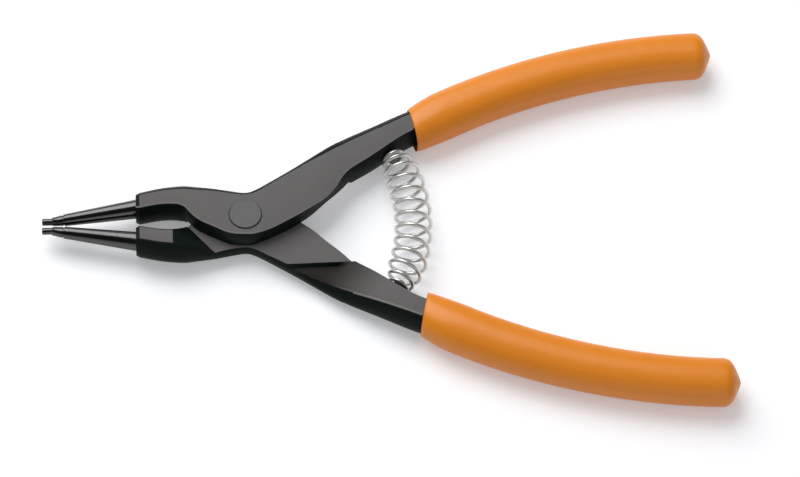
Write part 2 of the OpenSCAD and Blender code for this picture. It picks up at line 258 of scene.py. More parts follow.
def finish_mesh(mesh, smooth_angle):
    """Shades a mesh smooth, and keeps the edges that turn by more than smooth_angle sharp."""
    mesh.polygons.foreach_set("use_smooth", np.ones(len(mesh.polygons), bool))
    mesh.set_sharp_from_angle(angle=math.radians(smooth_angle))
    mesh.update()


def skin_faces(count, n, poles=False):
    """Quads between count rings of n points that go clockwise when one looks along the row.

    With poles, each end closes on a single point, which comes after all the rings; otherwise the
    first and the last ring are closed by a face each.
    """
    i, j = np.meshgrid(np.arange(count - 1), np.arange(n), indexing="ij")
    a = i * n + j
    b = i * n + (j + 1) % n
    quads = np.stack([a, b, b + n, a + n], -1).reshape(-1, 4).tolist()
    last = (count - 1) * n
    k = np.arange(n)
    if poles:
        start, end = count * n, count * n + 1
        first_fan = np.stack([np.full(n, start), (k + 1) % n, k], -1).tolist()
        last_fan = np.stack([np.full(n, end), last + k, last + (k + 1) % n], -1).tolist()
        return quads + first_fan + last_fan
    return quads + [k[::-1].tolist(), (last + k).tolist()]


def spline(rows, steps):
    """A Catmull-Rom curve through the rows of a table, with steps points from row to row."""
    rows = np.asarray(rows, float)
    padded = np.vstack([rows[:1], rows, rows[-1:]])
    t = (np.arange(steps) / steps)[None, :, None]
    a, b, c, d = (padded[k:k + len(rows) - 1, None, :] for k in range(4))
    curve = (2 * b + (c - a) * t + (2 * a - 5 * b + 4 * c - d) * t**2
             + (3 * b - a - 3 * c + d) * t**3) / 2
    return np.vstack([curve.reshape(-1, rows.shape[1]), rows[-1:]])


def ease(t):
    """0 before 0, 1 after 1, and a smooth S between them: 3t^2 - 2t^3."""
    t = np.clip(t, 0, 1)
    return t * t * (3 - 2 * t)


def frame_of(direction):
    """Two unit vectors square to a direction, the first as near to +Z as can be."""
    d = np.asarray(direction, float) / np.linalg.norm(direction)
    up = np.array([0, 0, 1.0]) if abs(d[2]) < 0.9 else np.array([1.0, 0, 0])
    across = np.cross(d, up)
    across /= np.linalg.norm(across)
    return np.cross(across, d), across


def circles(origin, direction, profile, n):
    """A circle of n points square to a unit direction for each (distance, radius) of a profile."""
    up, across = frame_of(direction)
    angle = 2 * np.pi * np.arange(n) / n
    circle = np.cos(angle)[:, None] * up + np.sin(angle)[:, None] * across
    return (origin + profile[:, :1] * direction)[:, None, :] + profile[:, 1:, None] * circle


def turned(origin, direction, profile, n=64):
    """A turned piece: points and faces of the circles of its profile, closed on the axis."""
    origin, direction, profile = (np.asarray(v, float) for v in (origin, direction, profile))
    rings = circles(origin, direction, profile, n)
    ends = origin + profile[[0, -1], :1] * direction
    return np.vstack([rings.reshape(-1, 3), ends]), skin_faces(len(profile), n, poles=True)


def forging_rings(st):
    """One ring per station row: two flats, a small round at each edge, and swelling sides.

    A side leaves the flat at its edge, swells by swell * (1 - |level|^squareness) at a level from
    1 at the flat to -1 at its own depth, and comes back. The round at the flat is a quadratic
    curve from EDGE_ROUND inside the edge to EDGE_ROUND down the side.
    """
    x, inner, outer, swell_in, swell_out, square, top, deep_out = (c[:, None] for c in st.T)
    t = np.linspace(0, 1, ROUND_STEPS + 1)[None, :]

    def side(edge, away, swell, deep):
        half, middle = (top + deep) / 2, (top - deep) / 2
        turn = 1 - EDGE_ROUND / half
        even = np.linspace(1, -1, SIDE_STEPS + 1)
        level = turn * (even + np.sin(even * np.pi / 2)) / 2
        y_side = edge + away * swell * (1 - np.abs(level) ** square)
        z_side = middle + half * level
        start = edge - away * EDGE_ROUND
        y_round = (1 - t)**2 * start + 2 * t * (1 - t) * edge + t**2 * y_side[:, :1]
        z_round = (1 - t**2) * top + t**2 * z_side[:, :1]
        low = 2 * middle - z_round[:, ::-1]
        return (np.hstack([y_round[:, :-1], y_side, y_round[:, ::-1][:, 1:]]),
                np.hstack([z_round[:, :-1], z_side, low[:, 1:]]))

    yp, zp = side(inner, -1, swell_in, top)
    yq, zq = side(outer, 1, swell_out, deep_out)
    y = np.hstack([yp, yq[:, ::-1]])
    z = np.hstack([zp, zq[:, ::-1]])
    return np.stack([np.broadcast_to(x, y.shape), y, z], -1)


def heading(s):
    """Slope of the handle at a distance s beyond the grip's mouth: it falls with s / HANDLE_R."""
    return HANDLE_ANGLE - np.asarray(s, float) / HANDLE_R


def bend(s):
    """Middle line of the handle: an arc of radius HANDLE_R that starts at the grip's mouth."""
    h = heading(s)
    return np.stack([TANG_REACH + HANDLE_R * (math.sin(HANDLE_ANGLE) - np.sin(h)),
                     TANG_RISE + HANDLE_R * (np.cos(h) - math.cos(HANDLE_ANGLE)),
                     np.zeros_like(h)], -1)


def bend_normal(s):
    """Unit vector across the handle, in the plane of the bend."""
    h = heading(s)
    return np.stack([-np.sin(h), np.cos(h), np.zeros_like(h)], -1)


def core_rings(s, width, thick):
    """The forging inside a grip: the section of forging_rings, carried along the bend."""
    s = np.asarray(s, float)
    half = (width + CORE_FLARE * np.maximum(0, 1 - s / GRIP_SWELL)) / 2
    flat, swell = CORE_FLAT * half, (1 - CORE_FLAT) * half
    square, height = np.full_like(s, CORE_SQUARE), np.full_like(s, thick / 2)
    local = forging_rings(np.stack([0 * s, -flat, flat, swell, swell, square, height, height], -1))
    across = local[..., 1:2] * bend_normal(s)[:, None, :]
    return bend(s)[:, None, :] + across + local[..., 2:] * [0, 0, 1]


def station_rows():
    """The stations with a smooth curve between them, their height and depth in millimetres."""
    rows = np.vstack([STATIONS[:1], spline(STATIONS[1:], STATION_STEPS)])
    rows[:, 6:] = np.minimum(rows[:, 6:], 1) * HALF_T
    return rows


def blank():
    """The forging before its lap is milled: a skin over its stations and on along the bend."""
    s = np.linspace(CORE_START, CORE_END - 1, CORE_STEPS)
    rings = np.concatenate([forging_rings(station_rows()), core_rings(s, CORE_W, CORE_T),
                            core_rings([CORE_END], CORE_TAIL * CORE_W, CORE_TAIL * CORE_T)])
    count, n, _ = rings.shape
    return rings.reshape(-1, 3), skin_faces(count, n)


def ramp_depth(x):
    """Depth of the forged ramp under the joint's middle: a smooth S between its two ends."""
    return RAMP_Z[0] + (RAMP_Z[1] - RAMP_Z[0]) * ease((x - RAMP_X[0]) / (RAMP_X[1] - RAMP_X[0]))


def lap_surface(x, o):
    """Height of the lapped side at a place x and a distance o beyond the mill line.

    It is level up to the line, drops by the gutter's depth over GUTTER_WALL, and goes over in a
    smooth S to the ramp within GUTTER_RUN. The gutter fades out, and the S gets shorter, towards
    the inner side of the tang.
    """
    fade = ease((x - GUTTER_FADE[0]) / (GUTTER_FADE[1] - GUTTER_FADE[0]))
    low = LAP_GAP / 2 + GUTTER * (1 - fade) * np.clip(o / GUTTER_WALL, 0, 1)
    run = GUTTER_RUN * (1 - 0.7 * fade)
    return low + (-ramp_depth(x) - low) * ease((o - GUTTER_WALL * (1 - fade)) / run) * (o > 0)


def lap_cutter():
    """What is taken from the lapped side, as a solid with the milled face on top.

    Its top is a grid. Along X it runs down the slanting end wall at the jaw, over the milled
    plane, and on along the handle, where its height is lap_surface. Its points lie closest over
    the gutter, and its sides are upright.
    """
    milled = LAP_GAP / 2
    ramp_start = GUTTER_WALL + GUTTER_RUN
    across = np.concatenate([np.linspace(LAP_BEYOND[0], 0, 15), [0.25 * GUTTER_WALL, GUTTER_WALL],
                             GUTTER_WALL + np.linspace(0.1, 1, 14) * GUTTER_RUN,
                             np.linspace(ramp_start + 0.7, LAP_BEYOND[1], 12)])
    along = np.concatenate([[MILL_LINE[0, 0]], np.linspace(*LAP_X, 73)])
    x, o = np.meshgrid(along, across, indexing="ij")
    y = np.interp(x, MILL_LINE[:, 0], MILL_LINE[:, 1]) + o
    side = y[0]
    foot_x = np.maximum(np.interp(side, WALL_FOOT[:, 1], WALL_FOOT[:, 0]), WALL_TOP_X + WALL_RUN)
    wall = []
    for beyond in (CUT_OVER, WALL_EDGE):
        wall_x = foot_x + (WALL_TOP_X - foot_x) * (HALF_T + beyond) / (HALF_T + milled)
        wall.append(np.stack([wall_x, side, np.full_like(side, -HALF_T - beyond)], -1))
    foot = np.stack([foot_x, side, np.full_like(side, milled)], -1)
    join = foot * [0, 1, 1] + [MILL_LINE[0, 0] - 0.05, 0, 0]
    top = np.concatenate([[*wall, foot, join], np.stack([x, y, lap_surface(x, o)], -1)])
    base = top * [1, 1, 0] + [0, 0, -HALF_T - CUT_OVER - 0.5]
    rows, cols, _ = top.shape
    i, j = np.meshgrid(np.arange(rows - 1), np.arange(cols - 1), indexing="ij")
    a = i * cols + j
    quads = np.stack([a, a + cols, a + cols + 1, a + 1], -1).reshape(-1, 4)
    rim = np.concatenate([np.arange(cols), cols - 1 + cols * np.arange(1, rows),
                          rows * cols - 1 - np.arange(1, cols), cols * np.arange(rows - 2, 0, -1)])
    after = np.roll(rim, -1)
    sides = np.stack([rim, after, after + rows * cols, rim + rows * cols], -1)
    faces = np.concatenate([quads, quads[:, ::-1] + rows * cols, sides])
    return np.concatenate([top.reshape(-1, 3), base.reshape(-1, 3)]), faces.tolist()


def cut(obj, cutters):
    """Takes the cutters away from obj with exact booleans, and leaves a plain mesh."""
    for cutter in cutters:
        step = obj.modifiers.new("cut", "BOOLEAN")
        step.operation = "DIFFERENCE"
        step.solver = "EXACT"
        step.object = cutter
    bpy.context.view_layer.update()
    result = bpy.data.meshes.new_from_object(obj.evaluated_get(bpy.context.evaluated_depsgraph_get()))
    old = obj.data
    obj.modifiers.clear()
    obj.data = result
    bpy.data.meshes.remove(old)
    for cutter in cutters:
        mesh = cutter.data
        bpy.data.objects.remove(cutter)
        bpy.data.meshes.remove(mesh)


def mark_ground(mesh, place):
    """Stores two values on the corners of the faces.

    ground is 1 where the forging was ground flat and 0 on its sides. On the forged ramp it goes
    in a smooth S from a half, by the mill line, to 1 as the place along it plus 0.8 of the
    distance beyond the mill line grows: painted shade, darker by the mill line where the ramp slopes
    away from the light. edge is 1 on the rounds of the upper flat, and fades in along the ramp's
    outer edge: a painted highlight on the rounds, partly wear.
    """
    flat_steep, ramp_steep = 0.985, 0.62                # least height of the unit normal
    near_flat, near_milled, near_edge = 0.15, 0.03, EDGE_ROUND + 0.07
    inner_margin, outer_margin, line_margin = 1.5, 0.1, 0.02
    rise_from, rise_run, highlight_from, highlight_run = 22, 22, 21, 12

    count, corners = len(mesh.polygons), len(mesh.loops)
    normal, centre, spots = np.empty(count * 3), np.empty(count * 3), np.empty(len(mesh.vertices) * 3)
    loops, index = np.empty(count, dtype=np.int32), np.empty(corners, dtype=np.int32)
    mesh.polygons.foreach_get("normal", normal)
    mesh.polygons.foreach_get("center", centre)
    mesh.polygons.foreach_get("loop_total", loops)
    mesh.loops.foreach_get("vertex_index", index)
    mesh.vertices.foreach_get("co", spots)
    turn = np.array([1, 1, 1] if place is upper else [1, -1, -1])

    def beyond_line(x, y):
        return y - np.interp(x, MILL_LINE[:, 0], MILL_LINE[:, 1])

    steep = normal.reshape(-1, 3)[:, 2] * turn[2]
    x, y, z = ((centre.reshape(-1, 3) / MM - [0, 0, HALF_T]) * turn).T
    corner_x, corner_y, _ = ((spots.reshape(-1, 3)[index] / MM - [0, 0, HALF_T]) * turn).T
    rows = station_rows()
    inner, outer, top, deep = (np.interp(x, rows[:, 0], rows[:, k]) for k in (1, 2, 6, 7))
    level = np.abs(steep) > flat_steep
    flat = level & ((np.abs(z) > HALF_T - near_flat) | (np.abs(z - LAP_GAP / 2) < near_milled))
    ramp = ((steep < -ramp_steep) & (beyond_line(x, y) > line_margin) & (x > MILL_LINE[0, 0])
            & (y > inner - inner_margin) & (y < outer + outer_margin))
    rounds = ~level & (x < TANG_REACH)
    top_edge = rounds & (np.abs(y - inner) < near_edge) & (np.abs(z - top) < near_edge)
    low_edge = rounds & (np.abs(y - outer) < near_edge) & (np.abs(z + deep) < near_edge)
    # The edge value paints a highlight on the rounds, partly wear: full on the upper flat's rounds, fading in
    # along the ramp's outer edge
    highlight_and_wear = np.where(top_edge, 1.0, low_edge * ease((x - highlight_from) / highlight_run))
    # Painted shade: the ramp's colour is darker by the mill line, where it slopes away from the light, and
    # lighter towards the flat
    ramp_shading = ease((corner_x + 0.8 * beyond_line(corner_x, corner_y) - rise_from) / rise_run)
    ramp_shading = 0.5 + 0.5 * ramp_shading
    on_flat = np.repeat(flat | (highlight_and_wear > 0.9), loops)
    ground = np.where(on_flat, 1.0, np.where(np.repeat(ramp | low_edge, loops), ramp_shading, 0.0))
    for name, value in (("ground", ground), ("edge", np.repeat(highlight_and_wear, loops))):
        attribute = mesh.attributes.new(name, "FLOAT", "CORNER")
        attribute.data.foreach_set("value", value.astype(np.float32))


def half(name, body, node, material):
    """One forging: its blank, less the lap, the pivot bore with its counterbore, and the nose's seat."""
    place = PLACE[body]
    points, faces = blank()
    obj = new_object(name, place(points), faces, material)
    r, head, step = RIVET_D / 2 + PLAY[body], RIVET_HEAD_D / 2 + PLAY[body], HALF_T - RIVET_HEAD_T
    flared = head + 0.6 * GROOVE
    bore = turned([0, 0, 0], [0, 0, 1], [[-1, r], [step, r], [step, head], [HALF_T - GROOVE, head],
                                         [HALF_T, flared], [HALF_T + 1, flared]])
    seat_r = NOSE_BASE_D / 2 + SEAT_PLAY
    wide_r = NOSE_BASE_D / 2 + SEAT_BEVEL
    seat = turned([-JAW_LEN, NOSE_OFFSET, 0], NOSE_AXIS,
                  [[-NOSE_RECESS, seat_r], [-SEAT_BEVEL, seat_r], [0.1, wide_r], [2, wide_r]])
    shapes = (lap_cutter(), bore, seat)
    cut(obj, [new_object("cutter", place(points), faces, None) for points, faces in shapes])
    mark_ground(obj.data, place)
    finish_mesh(obj.data, 28)
    dress(obj, body, node)


def nose(name, body, node, material):
    """A turned cone on its slanting axis, with a neck, a shoulder and a round tip along X.

    A profile of distance and radius is carried along a path that follows the slanting axis up to
    the tip's shoulder and then runs along -X.
    """
    long = NOSE_LEN / math.cos(NOSE_ANGLE)
    full = (NOSE_LEN + NECK_LEN) / math.cos(NOSE_ANGLE)
    base, end, tip = NOSE_BASE_D / 2, NOSE_END_D / 2, TIP_D / 2
    foot = [[-NOSE_RECESS, base], [-0.05, base], [0.1, base - 0.02]]
    cone = [[share * long, base + share * (end - base)] for share in (0.35, 0.7)]
    shoulder = [[long - 0.05, end + 0.01], [long + 0.05, end - SHOULDER], [long + 0.3, end - SHOULDER - 0.02],
                [long + 0.38, end - SHOULDER / 2]]
    neck = [[full - 0.1, tip + TIP_SHOULDER + 0.09], [full, tip + TIP_SHOULDER]]
    tip_end = [[0.02, tip], [0.5 * TIP_LEN, tip], [TIP_LEN - TIP_BEVEL[0], tip],
               [TIP_LEN - 0.07, tip - 0.07], [TIP_LEN, tip - TIP_BEVEL[1]]]
    foot_place = np.array([-JAW_LEN, NOSE_OFFSET, 0])
    tip_place = np.array([-JAW_LEN - NOSE_LEN - NECK_LEN, TIP_Y, 0])
    rings = np.concatenate([
        circles(foot_place, NOSE_AXIS, np.array(foot + cone + shoulder + neck), NOSE_SIDES),
        circles(tip_place, np.array([-1.0, 0, 0]), np.array(tip_end), NOSE_SIDES)])
    ends = np.stack([foot_place - NOSE_RECESS * NOSE_AXIS, tip_place - [TIP_LEN, 0, 0]])
    points = np.vstack([rings.reshape(-1, 3), ends])
    obj = new_object(name, PLACE[body](points), skin_faces(len(rings), NOSE_SIDES, poles=True), material, 40)
    dress(obj, body, node)


def rivet(name, body, node, material):
    """The rivet: a shank between two heads, the upper one a little proud with a broken edge."""
    r, head = RIVET_D / 2, RIVET_HEAD_D / 2
    step, crown = HALF_T - RIVET_HEAD_T, HALF_T + RIVET_PROUD
    bevel_high, bevel_wide = RIVET_BEVEL
    profile = [[-HALF_T, head - bevel_wide], [bevel_high - HALF_T, head], [-step, head], [-step, r],
               [step, r], [step, head], [HALF_T - GROOVE, head], [HALF_T - 0.1, head - 0.3 * GROOVE],
               [crown - 0.06, head - 0.55 * GROOVE], [crown, head - GROOVE], [crown, head - 1]]
    points, faces = turned([0, 0, 0], [0, 0, 1], profile, 96)
    obj = new_object(name, PLACE[UPPER](points), faces, material, 30)
    dress(obj, body, node)


def spring_frame():
    """Radius and half angle of the spring's arc about the pivot, from the tang's inner side."""
    side = STATIONS[-3:-1, :2] - np.stack([np.zeros(2), STATIONS[-3:-1, 3]], -1)
    spot = side[0] + (side[1] - side[0]) * PEG_PLACE
    radius = float(np.linalg.norm(spot))
    return radius, math.atan2(spot[1], spot[0]) - COIL_SEAT / radius


def spring(name, node, material):
    """The spring: a round wire wound round an arc about the pivot.

    Along the wire the turn count n grows evenly. The coil's middle moves along the arc by a pitch
    that rises evenly from one wire diameter over the end turns, and the coil's radius rises there
    evenly from the closed end coil to the full one.
    """
    radius, half_angle = spring_frame()
    arc = 2 * half_angle * radius
    n = np.linspace(0, SPRING_TURNS, int(SPRING_TURNS * TURN_STEPS) + 1)
    from_end = np.minimum(n, SPRING_TURNS - n)
    t = np.clip(from_end / END_TURNS, 0, 1)
    pitch = (arc - END_TURNS * WIRE_D) / (SPRING_TURNS - END_TURNS)
    moved = WIRE_D * from_end * (1 - t) + pitch * from_end * t - (pitch - WIRE_D) * END_TURNS * t * t / 2
    advance = np.where(n < SPRING_TURNS / 2, moved, arc - moved)
    full, end = (SPRING_D - WIRE_D) / 2, (SPRING_END_D - WIRE_D) / 2
    coil = end + (full - end) * t
    turn = 2 * np.pi * n
    angle = advance / radius - half_angle
    out = np.stack([np.cos(angle), np.sin(angle), 0 * angle], -1)
    away = out * np.cos(turn)[:, None] + np.array([0, 0, 1]) * np.sin(turn)[:, None]
    path = out * radius + away * coil[:, None]
    run = np.gradient(path, axis=0)
    run /= np.linalg.norm(run, axis=1, keepdims=True)
    side = np.cross(run, away)
    around = 2 * np.pi * np.arange(WIRE_SIDES) / WIRE_SIDES
    ring = away[:, None, :] * np.cos(around)[None, :, None] + side[:, None, :] * np.sin(around)[None, :, None]
    rings = path[:, None, :] + ring * WIRE_D / 2
    points = np.vstack([rings.reshape(-1, 3), path[[0, -1]]])
    obj = new_object(name, upper(points), skin_faces(len(n), WIRE_SIDES, poles=True), material, 60)
    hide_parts(node)
    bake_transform(obj)


def peg(name, body, node, material):
    """A turned peg with a chamfered end, on the spring's arc where it meets the tang."""
    radius, half_angle = spring_frame()
    origin = [radius * math.cos(half_angle), radius * math.sin(half_angle), 0]
    direction = [-math.sin(half_angle), math.cos(half_angle), 0]
    r, chamfer = PEG_D / 2, PEG_D / 10
    profile = [[-PEG_LEN, 0.6 * (r - chamfer)], [-PEG_LEN, r - chamfer], [-PEG_LEN + chamfer, r],
               [PEG_DEPTH + COIL_SEAT, r], [PEG_DEPTH + COIL_SEAT, 0.5 * r]]
    points, faces = turned(origin, direction, profile, 48)
    obj = new_object(name, PLACE[body](points), faces, material, 30)
    dress(obj, body, node)


def oval_rings(s, width, thick, square, slant, n):
    """Ovals across the bend: |y/a|^square + |z/b|^square = 1, clockwise seen along the handle.

    A slant moves each point along the handle by slant times its offset across.
    """
    s, width, thick, square, slant = (np.asarray(v, float)[:, None]
                                      for v in np.broadcast_arrays(s, width, thick, square, slant))
    a = 2 * np.pi * np.arange(n)[None, :] / n
    y = -np.sign(np.sin(a)) * np.abs(np.sin(a)) ** (2 / square) * width / 2
    z = np.sign(np.cos(a)) * np.abs(np.cos(a)) ** (2 / square) * thick / 2
    place = s + slant * y
    return bend(place) + y[..., None] * bend_normal(place) + z[..., None] * np.array([0, 0, 1])


def grip(name, body, node, material):
    """A moulded sleeve: one closed skin from the bottom of its bore, out over the slanting mouth's
    rim and along the outside to its blunt end, which is a round shoulder and a flat cone."""
    start = GRIP_START[body]
    bore_s = np.array([CORE_END + 0.1, 40, 9, 3, start + 0.35, start])
    wider = np.array([0.2, 0.2, 0.2, 0.8, 1.4, 1.75])
    thicker = np.array([0.2, 0.2, 0.2, 0.35, 0.5, 0.85])
    bore_slant = MOUTH_SLANT * np.array([0, 0, 0, 0.5, 1, 1])
    body_s = np.linspace(GRIP_SWELL, GRIP_LEN - GRIP_NOSE, GRIP_STEPS)[1:]
    out_s = np.concatenate([MOUTH[:, 0], body_s, GRIP_LEN - GRIP_NOSE + GRIP_END[:, 0] * GRIP_NOSE])
    size = np.concatenate([MOUTH[:, 1], np.ones(len(body_s)), GRIP_END[:, 1]])
    size *= 1 - (1 - GRIP_TAPER) * out_s / GRIP_LEN
    out_slant = MOUTH_SLANT * np.clip(1 - out_s / GRIP_SWELL, 0, 1)
    out_s = start + out_s * (GRIP_LEN - start) / GRIP_LEN
    rings = np.concatenate([
        oval_rings(bore_s, CORE_W + wider, CORE_T + thicker, BORE_SQUARE, bore_slant, GRIP_SIDES),
        oval_rings(out_s, GRIP_W * size, GRIP_T * size, GRIP_SQUARE, out_slant, GRIP_SIDES)])
    points = np.vstack([rings.reshape(-1, 3), bend(np.array([bore_s[0], GRIP_LEN]))])
    obj = new_object(name, PLACE[body](points), skin_faces(len(rings), GRIP_SIDES, poles=True), material, 50)
    dress(obj, body, node)


def math_node(tree, operation, a, b):
    """A Math node; a and b are sockets or numbers."""
    node = tree.nodes.new("ShaderNodeMath")
    node.operation = operation
    for socket, value in zip(node.inputs, (a, b)):
        if isinstance(value, (int, float)):
            socket.default_value = value
        else:
            tree.links.new(value, socket)
    return node.outputs[0]


def seen_rays(tree):
    """1 on rays from the camera, in reflections and through clear pieces, and 0 on other rays."""
    path = tree.nodes.new("ShaderNodeLightPath")
    seen = math_node(tree, "MAXIMUM", path.outputs["Is Camera Ray"], path.outputs["Is Glossy Ray"])
    return math_node(tree, "MAXIMUM", seen, path.outputs["Is Transmission Ray"])


def mix_colours(tree, mask, colour, other):
    """Goes from a colour to another one where the mask is 1; other is a socket or a colour."""
    node = tree.nodes.new("ShaderNodeMix")
    node.data_type = "RGBA"
    tree.links.new(mask, node.inputs["Factor"])
    tree.links.new(colour, node.inputs["A"])
    if isinstance(other, tuple):
        node.inputs["B"].default_value = (*other, 1)
    else:
        tree.links.new(other, node.inputs["B"])
    return node.outputs["Result"]


def grain_group():
    """Grain of a fine and a broad noise on Object coordinates, about zero, from -1 to 1."""
    tree = bpy.data.node_groups.new("steel_grain", "ShaderNodeTree")
    for label, value in (("Fine per mm", 3.0), ("Broad per mm", 0.3), ("Broad share", 0.4)):
        socket = tree.interface.new_socket(label, in_out="INPUT", socket_type="NodeSocketFloat")
        socket.default_value = value
    tree.interface.new_socket("Grain", in_out="OUTPUT", socket_type="NodeSocketFloat")
    given, out = tree.nodes.new("NodeGroupInput"), tree.nodes.new("NodeGroupOutput")
    place = tree.nodes.new("ShaderNodeTexCoord")
    values = []
    for label, detail in (("Fine per mm", 4.0), ("Broad per mm", 2.0)):
        noise = tree.nodes.new("ShaderNodeTexNoise")
        noise.inputs["Detail"].default_value = detail
        tree.links.new(place.outputs["Object"], noise.inputs["Vector"])
        tree.links.new(math_node(tree, "DIVIDE", given.outputs[label], MM), noise.inputs["Scale"])
        centred = math_node(tree, "SUBTRACT", noise.outputs["Fac"], 0.5)
        values.append(math_node(tree, "MULTIPLY", centred, 2.0))
    broad = math_node(tree, "MULTIPLY", values[1], given.outputs["Broad share"])
    tree.links.new(math_node(tree, "ADD", values[0], broad), out.inputs["Grain"])
    return tree


GRAIN = grain_group()


class Finish:
    """A material's node tree with its Principled shader, and short ways to add nodes."""

    def __init__(self, name, base, **constant):
        self.base = base
        self.material = bpy.data.materials.new(name)
        self.material.use_nodes = True
        self.tree = self.material.node_tree
        self.shader = self.tree.nodes["Principled BSDF"]
        self.shader.inputs["Base Color"].default_value = (*base, 1)
        for label, value in constant.items():
            self.shader.inputs[label.replace("_", " ")].default_value = value

    def grain(self, fine, broad, share):
        """The shared grain, with fine and broad in waves per millimetre."""
        node = self.tree.nodes.new("ShaderNodeGroup")
        node.node_tree = GRAIN
        for label, value in zip(("Fine per mm", "Broad per mm", "Broad share"), (fine, broad, share)):
            node.inputs[label].default_value = value
        return node.outputs["Grain"]

    def noise(self, scale, detail=2.0, stretch=(1, 1, 1)):
        """A noise on Object coordinates, with scale in waves per millimetre."""
        place = self.tree.nodes.new("ShaderNodeTexCoord")
        mapping = self.tree.nodes.new("ShaderNodeMapping")
        mapping.inputs["Scale"].default_value = stretch
        node = self.tree.nodes.new("ShaderNodeTexNoise")
        node.inputs["Scale"].default_value = scale / MM
        node.inputs["Detail"].default_value = detail
        self.tree.links.new(place.outputs["Object"], mapping.inputs["Vector"])
        self.tree.links.new(mapping.outputs["Vector"], node.inputs["Vector"])
        return node.outputs["Fac"]

    def attribute(self, name):
        """A value stored in the mesh."""
        node = self.tree.nodes.new("ShaderNodeAttribute")
        node.attribute_name = name
        return node.outputs["Fac"]

    def ramp(self, value, stops):
        """A colour ramp through (place, colour) stops."""
        node = self.tree.nodes.new("ShaderNodeValToRGB")
        elements = node.color_ramp.elements
        while len(elements) < len(stops):
            elements.new(0.5)
        for element, (where, colour) in zip(elements, stops):
            element.position = where
            element.color = (*colour, 1)
        self.tree.links.new(value, node.inputs["Fac"])
        return node.outputs["Color"]

    def mix(self, mask, colour, other):
        """Goes from a colour to another one where the mask is 1."""
        return mix_colours(self.tree, mask, colour, other)

    def vary(self, colour, value, amount):
        """Lightens and darkens a colour by amount times a value about zero."""
        node = self.tree.nodes.new("ShaderNodeHueSaturation")
        scaled = math_node(self.tree, "MULTIPLY", value, amount)
        self.tree.links.new(math_node(self.tree, "ADD", scaled, 1.0), node.inputs["Value"])
        if isinstance(colour, tuple):
            node.inputs["Color"].default_value = (*colour, 1)
        else:
            self.tree.links.new(colour, node.inputs["Color"])
        return node.outputs["Color"]

    def between(self, value, low, high):
        """Maps a value from 0..1 to low..high."""
        node = self.tree.nodes.new("ShaderNodeMapRange")
        node.inputs["To Min"].default_value = low
        node.inputs["To Max"].default_value = high
        self.tree.links.new(value, node.inputs["Value"])
        return node.outputs["Result"]

    def grey_ramp(self, value, low, middle, high):
        """A value through low at 0, middle at a half and high at 1."""
        return self.ramp(value, [(0.0, (low,) * 3), (0.5, (middle,) * 3), (1.0, (high,) * 3)])

    def bump(self, height, depth_mm):
        """Raises the surface by the height times depth_mm."""
        node = self.tree.nodes.new("ShaderNodeBump")
        node.inputs["Strength"].default_value = 1.0
        node.inputs["Distance"].default_value = depth_mm * MM
        self.tree.links.new(height, node.inputs["Height"])
        self.feed("Normal", node.outputs["Normal"])

    def feed(self, label, socket):
        """Links a socket to the shader."""
        self.tree.links.new(socket, self.shader.inputs[label])


def forged_steel():
    """Blackened forging: satin grey where it was ground flat, near black with a green cast on the
    sides, brownish and coarse on the ramp that was left as forged."""
    m = Finish("forged_steel_blackened", GROUND_GREY, IOR=1.45, Specular_IOR_Level=0.08)
    ground = m.attribute("ground")
    grain = m.grain(5.0, 0.22, 0.5)
    # On the ramp the ground value carries painted shade, from brown by the mill line to the flat's grey
    colour = m.ramp(ground, [(0.0, SIDE_BLACK), (0.5, RAMP_BROWN), (1.0, m.base)])
    # The edge value lays a lighter grey on the rounds: a painted highlight, partly wear
    m.feed("Base Color", m.vary(m.mix(m.attribute("edge"), colour, HIGHLIGHT_AND_WEAR_GREY), grain, 0.10))
    rough = m.grey_ramp(ground, 0.44, 0.62, 0.5)
    m.feed("Roughness", math_node(m.tree, "ADD", rough, math_node(m.tree, "MULTIPLY", grain, 0.05)))
    coarse = m.grey_ramp(ground, 0.25, 1.0, 0.12)
    m.bump(math_node(m.tree, "MULTIPLY", m.grain(1.6, 0.5, 1.2), coarse), 0.06)
    return m.material


def nose_steel():
    """Blackened and polished cone, with the faint rings of its turning."""
    m = Finish("nose_steel_polished", (0.085, 0.085, 0.083), Metallic=1.0)
    rings = m.noise(2.2, 1.0, (1.0, 0.05, 0.05))
    m.feed("Base Color", m.vary(m.base, m.grain(2.0, 0.25, 0.6), 0.1))
    m.feed("Roughness", m.between(rings, 0.14, 0.22))
    m.bump(rings, 0.004)
    return m.material


def rivet_steel():
    """The rivet and the pegs: the grey of the ground flats, with a turned face."""
    m = Finish("rivet_steel_satin", (0.108, 0.106, 0.104), IOR=1.45)
    m.feed("Base Color", m.vary(m.base, m.grain(4.0, 0.3, 0.5), 0.10))
    m.feed("Roughness", m.between(m.noise(1.5), 0.44, 0.54))
    m.bump(m.grain(2.5, 0.4, 0.6), 0.006)
    return m.material


def spring_wire():
    """Bright zinc on spring wire, with the marks of drawing."""
    m = Finish("spring_wire_zinc", (0.70, 0.70, 0.67), Metallic=0.85)
    grain = m.grain(3.0, 0.35, 0.6)
    m.feed("Base Color", m.vary(m.base, grain, 0.08))
    m.feed("Roughness", m.between(m.noise(1.2), 0.26, 0.38))
    m.bump(grain, 0.004)
    return m.material


def grip_plastic():
    """Dipped soft plastic: a warm orange with a soft gloss and a faint unevenness."""
    m = Finish("grip_plastic_orange", (0.88, 0.27, 0.012), IOR=1.46)
    broad = math_node(m.tree, "SUBTRACT", m.noise(0.06), 0.5)
    m.feed("Base Color", m.vary(m.base, broad, 0.12))
    m.feed("Roughness", m.between(m.noise(0.25, 3.0), 0.29, 0.4))
    m.bump(m.grain(0.5, 0.12, 1.5), 0.035)
    return m.material


